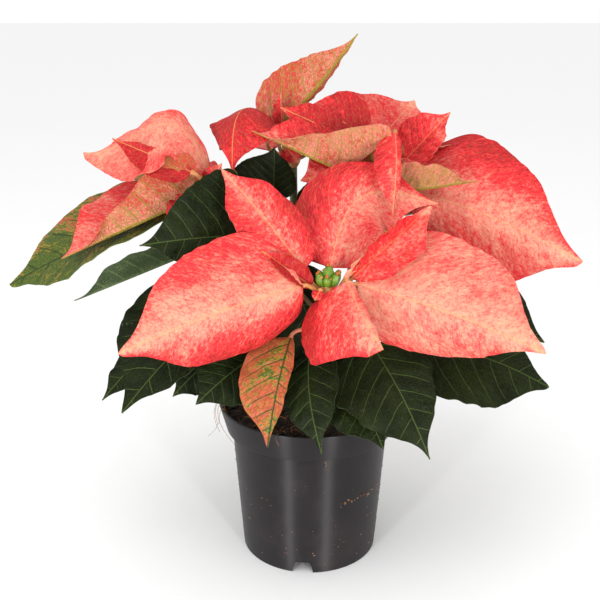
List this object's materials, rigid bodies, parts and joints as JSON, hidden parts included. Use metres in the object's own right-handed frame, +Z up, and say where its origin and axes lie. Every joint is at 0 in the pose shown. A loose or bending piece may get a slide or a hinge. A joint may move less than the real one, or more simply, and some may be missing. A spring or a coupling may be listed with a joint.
{
  "type": "potted poinsettia plant",
  "caption": "Bushy poinsettia with marbled salmon and red bract heads over dark pointed leaves, in a round tapering nursery pot filled with peat.",
  "frame": {"origin": "middle of the whole plant's box, on the surface the pot stands on", "axes": "+Z up; +Y away from the side that the picture shows; +X to that side's right"},
  "size_m": [0.3454, 0.2588, 0.3343],
  "materials": {
    "bract": "satin",
    "leaf": "satin",
    "turning_leaf": "satin",
    "cup": "satin",
    "stems": "matte",
    "soil": "matte",
    "pot": "satin"
  },
  "bodies": {
    "root": {"bracts_back": "bract", "bracts_front": "bract", "bracts_left": "bract", "bracts_right": "bract", "bracts_top": "bract", "cups_back": "cup", "cups_front": "cup", "cups_left": "cup", "cups_right": "cup", "cups_top": "cup", "leaf_back_left": "leaf", "leaf_back_low": "leaf", "leaf_back_middle": "leaf", "leaf_back_right": "leaf", "leaf_front_inner": "leaf", "leaf_front_low": "leaf", "leaf_front_middle": "leaf", "leaf_front_right": "leaf", "leaf_front_turning": "turning_leaf", "leaf_left_behind": "leaf", "leaf_left_inner": "leaf", "leaf_left_jagged": "leaf", "leaf_left_low": "leaf", "leaf_left_turning": "turning_leaf", "leaf_left_twisted": "leaf", "leaf_left_upper": "leaf", "leaf_middle_behind": "leaf", "leaf_right_back": "leaf", "leaf_right_behind": "leaf", "leaf_right_low": "leaf", "leaf_top_back": "leaf", "leaf_top_front": "leaf", "pot": "pot", "soil": "soil", "stems": "stems"}
  },
  "joints": []
}
